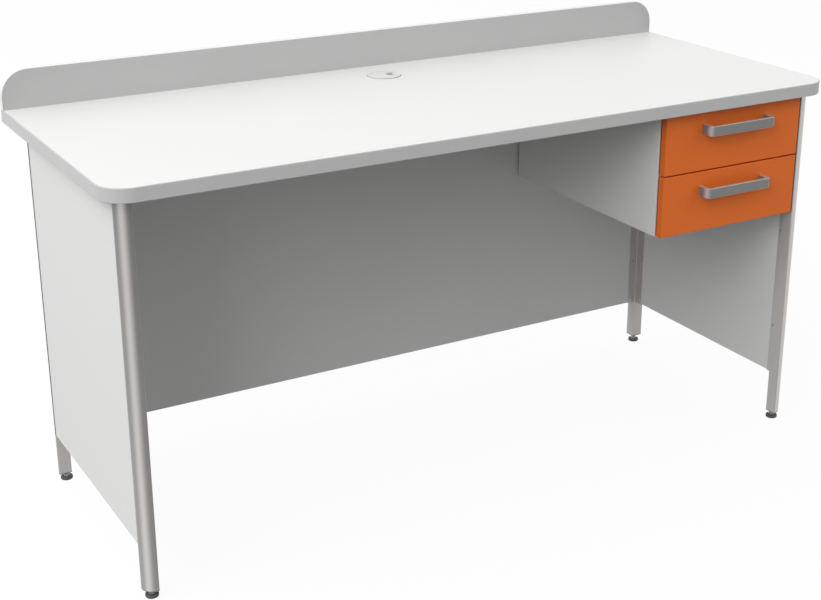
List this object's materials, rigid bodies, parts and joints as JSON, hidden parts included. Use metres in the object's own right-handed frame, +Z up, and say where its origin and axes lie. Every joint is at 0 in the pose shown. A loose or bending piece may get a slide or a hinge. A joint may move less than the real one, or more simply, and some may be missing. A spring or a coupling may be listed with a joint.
{
  "type": "laboratory table",
  "caption": "Sitting-height laboratory table: rounded white worktop with upstand and cable grommet, aluminium corner legs on levelling feet, white panels and a hanging orange drawer unit.",
  "frame": {"origin": "on the floor under the middle of the length and of the depth from the handles to the back edge", "axes": "+X along the table to the right of a person who sits at it, -Y to that person, +Z up"},
  "size_m": [1.5, 0.605, 0.824],
  "materials": {
    "worktop_laminate": "smooth matt white laminate on chipboard",
    "edging_plastic": "light grey plastic edging",
    "upstand_laminate": "matt light grey laminate on chipboard",
    "panel_melamine": "fine-grained white melamine on chipboard",
    "drawer_melamine": "white melamine on chipboard",
    "hardboard": "white-faced hardboard",
    "orange_front": "satin orange laminate",
    "anodised_aluminium": "satin anodised",
    "handle_grey": "matt grey lacquer",
    "zinc_steel": "zinc plated",
    "runner_enamel": "white enamel",
    "roller_nylon": "natural nylon",
    "foot_plastic": "black moulded plastic",
    "plug_plastic": "dark moulded plastic",
    "grommet_plastic": "white moulded plastic"
  },
  "bodies": {
    "table": {"back_panel": "panel_melamine", "bracket_screws": "zinc_steel", "grommet_liner": "grommet_plastic", "leg_back_left": "anodised_aluminium", "leg_back_right": "anodised_aluminium", "leg_end_plugs": "plug_plastic", "leg_front_left": "anodised_aluminium", "leg_front_right": "anodised_aluminium", "lower_rail_left": "runner_enamel", "lower_rail_right": "runner_enamel", "panel_screws": "zinc_steel", "side_panel_left": "panel_melamine", "side_panel_right": "panel_melamine", "unit_bottom": "panel_melamine", "unit_rail_back": "panel_melamine", "unit_rail_front": "panel_melamine", "unit_screws": "zinc_steel", "unit_side_left": "panel_melamine", "unit_side_right": "panel_melamine", "upper_rail_left": "runner_enamel", "upper_rail_right": "runner_enamel", "upstand": "upstand_laminate", "upstand_screws": "zinc_steel", "worktop": "worktop_laminate", "worktop_brackets": "zinc_steel", "worktop_edging": "edging_plastic"},
    "upper_drawer": {"upper_drawer_back": "drawer_melamine", "upper_drawer_bottom": "hardboard", "upper_drawer_front": "orange_front", "upper_drawer_handle": "handle_grey", "upper_drawer_handle_screws": "zinc_steel", "upper_drawer_inner_front": "drawer_melamine", "upper_drawer_runner_left": "runner_enamel", "upper_drawer_runner_right": "runner_enamel", "upper_drawer_side_left": "drawer_melamine", "upper_drawer_side_right": "drawer_melamine"},
    "upper_front_rollers": {"upper_front_rollers": "roller_nylon"},
    "upper_rear_rollers": {"upper_rear_rollers": "roller_nylon"},
    "lower_drawer": {"lower_drawer_back": "drawer_melamine", "lower_drawer_bottom": "hardboard", "lower_drawer_front": "orange_front", "lower_drawer_handle": "handle_grey", "lower_drawer_handle_screws": "zinc_steel", "lower_drawer_inner_front": "drawer_melamine", "lower_drawer_runner_left": "runner_enamel", "lower_drawer_runner_right": "runner_enamel", "lower_drawer_side_left": "drawer_melamine", "lower_drawer_side_right": "drawer_melamine"},
    "lower_front_rollers": {"lower_front_rollers": "roller_nylon"},
    "lower_rear_rollers": {"lower_rear_rollers": "roller_nylon"},
    "foot_front_left": {"foot_stem_front_left": "zinc_steel", "foot_pad_front_left": "foot_plastic"},
    "foot_front_right": {"foot_stem_front_right": "zinc_steel", "foot_pad_front_right": "foot_plastic"},
    "foot_back_left": {"foot_stem_back_left": "zinc_steel", "foot_pad_back_left": "foot_plastic"},
    "foot_back_right": {"foot_stem_back_right": "zinc_steel", "foot_pad_back_right": "foot_plastic"},
    "grommet_cap": {"grommet_cap": "grommet_plastic"}
  },
  "joints": [
    {"name": "upper_drawer_slide", "type": "slide", "parent": "table", "child": "upper_drawer", "axis": [0, -1, 0], "range_m": [0, 0.34]},
    {"name": "upper_front_roller_turn", "type": "hinge", "parent": "table", "child": "upper_front_rollers", "pos_m": [0.528, -0.2365, 0.6286], "axis": [1, 0, 0], "range_deg": [0, 2435.6]},
    {"name": "upper_rear_roller_turn", "type": "hinge", "parent": "upper_drawer", "child": "upper_rear_rollers", "pos_m": [0.528, 0.1815, 0.6303], "axis": [1, 0, 0], "range_deg": [0, 2008.8]},
    {"name": "lower_drawer_slide", "type": "slide", "parent": "table", "child": "lower_drawer", "axis": [0, -1, 0], "range_m": [0, 0.34]},
    {"name": "lower_front_roller_turn", "type": "hinge", "parent": "table", "child": "lower_front_rollers", "pos_m": [0.528, -0.2365, 0.5036], "axis": [1, 0, 0], "range_deg": [0, 2435.6]},
    {"name": "lower_rear_roller_turn", "type": "hinge", "parent": "lower_drawer", "child": "lower_rear_rollers", "pos_m": [0.528, 0.1815, 0.5053], "axis": [1, 0, 0], "range_deg": [0, 2008.8]},
    {"name": "foot_front_left_screw", "type": "slide", "parent": "table", "child": "foot_front_left", "axis": [0, 0, -1], "range_m": [-0.0055, 0.012]},
    {"name": "foot_front_right_screw", "type": "slide", "parent": "table", "child": "foot_front_right", "axis": [0, 0, -1], "range_m": [-0.0055, 0.012]},
    {"name": "foot_back_left_screw", "type": "slide", "parent": "table", "child": "foot_back_left", "axis": [0, 0, -1], "range_m": [-0.0055, 0.012]},
    {"name": "foot_back_right_screw", "type": "slide", "parent": "table", "child": "foot_back_right", "axis": [0, 0, -1], "range_m": [-0.0055, 0.012]},
    {"name": "grommet_cap_turn", "type": "hinge", "parent": "table", "child": "grommet_cap", "pos_m": [0, 0.1945, 0.7505], "axis": [0, 0, 1], "continuous": true}
  ],
  "couplings": [
    {"joint": "upper_front_roller_turn", "follows": "upper_drawer_slide", "rad_per_m": 125},
    {"joint": "upper_rear_roller_turn", "follows": "upper_drawer_slide", "rad_per_m": 103.09},
    {"joint": "lower_front_roller_turn", "follows": "lower_drawer_slide", "rad_per_m": 125},
    {"joint": "lower_rear_roller_turn", "follows": "lower_drawer_slide", "rad_per_m": 103.09}
  ]
}
